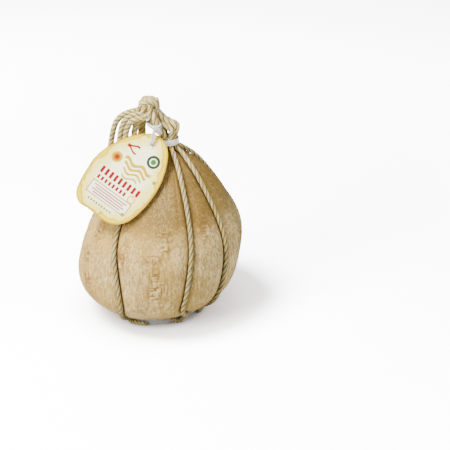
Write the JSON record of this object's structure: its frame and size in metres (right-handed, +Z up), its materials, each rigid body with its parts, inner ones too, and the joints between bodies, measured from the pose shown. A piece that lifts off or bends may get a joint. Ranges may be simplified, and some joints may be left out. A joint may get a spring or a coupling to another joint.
{
  "type": "rope-tied provolone cheese",
  "caption": "Pear-shaped hard cheese in a rope harness, with a round base disc, a neck clip, a top knot with hanging rope ends, and a plain-design paper tag on a string.",
  "frame": {"origin": "centre of the base disc's flat underside, on the surface that the cheese stands on", "axes": "+Z up through the cheese to the knot, -Y towards the front, which the tag faces, +X to the right seen from the front"},
  "size_m": [0.1921, 0.1918, 0.2589],
  "materials": {
    "white_plastic": "smooth, slightly worn white moulded plastic",
    "rind": "dry matt straw-tan rind with a pale bloom, fine upright grain and orange-brown mottling",
    "rope": "twisted natural-fibre cord, undyed, matt",
    "card": "cream card with a pale yellow margin and simple coloured shapes, slight sheen",
    "twine": "thin white cotton string"
  },
  "bodies": {
    "root": {"base_disc": "white_plastic", "cheese": "rind", "harness_rope_1": "rope", "harness_rope_2": "rope", "harness_rope_3": "rope", "harness_rope_4": "rope", "harness_rope_5": "rope", "harness_rope_6": "rope", "harness_rope_7": "rope", "harness_rope_8": "rope", "neck_clip": "white_plastic", "knot": "rope", "rope_tail_1": "rope", "rope_tail_2": "rope", "rope_tail_3": "rope", "rope_tail_4": "rope", "rope_tail_5": "rope", "rope_tail_6": "rope", "tag": "card", "tag_string": "twine"}
  },
  "joints": []
}
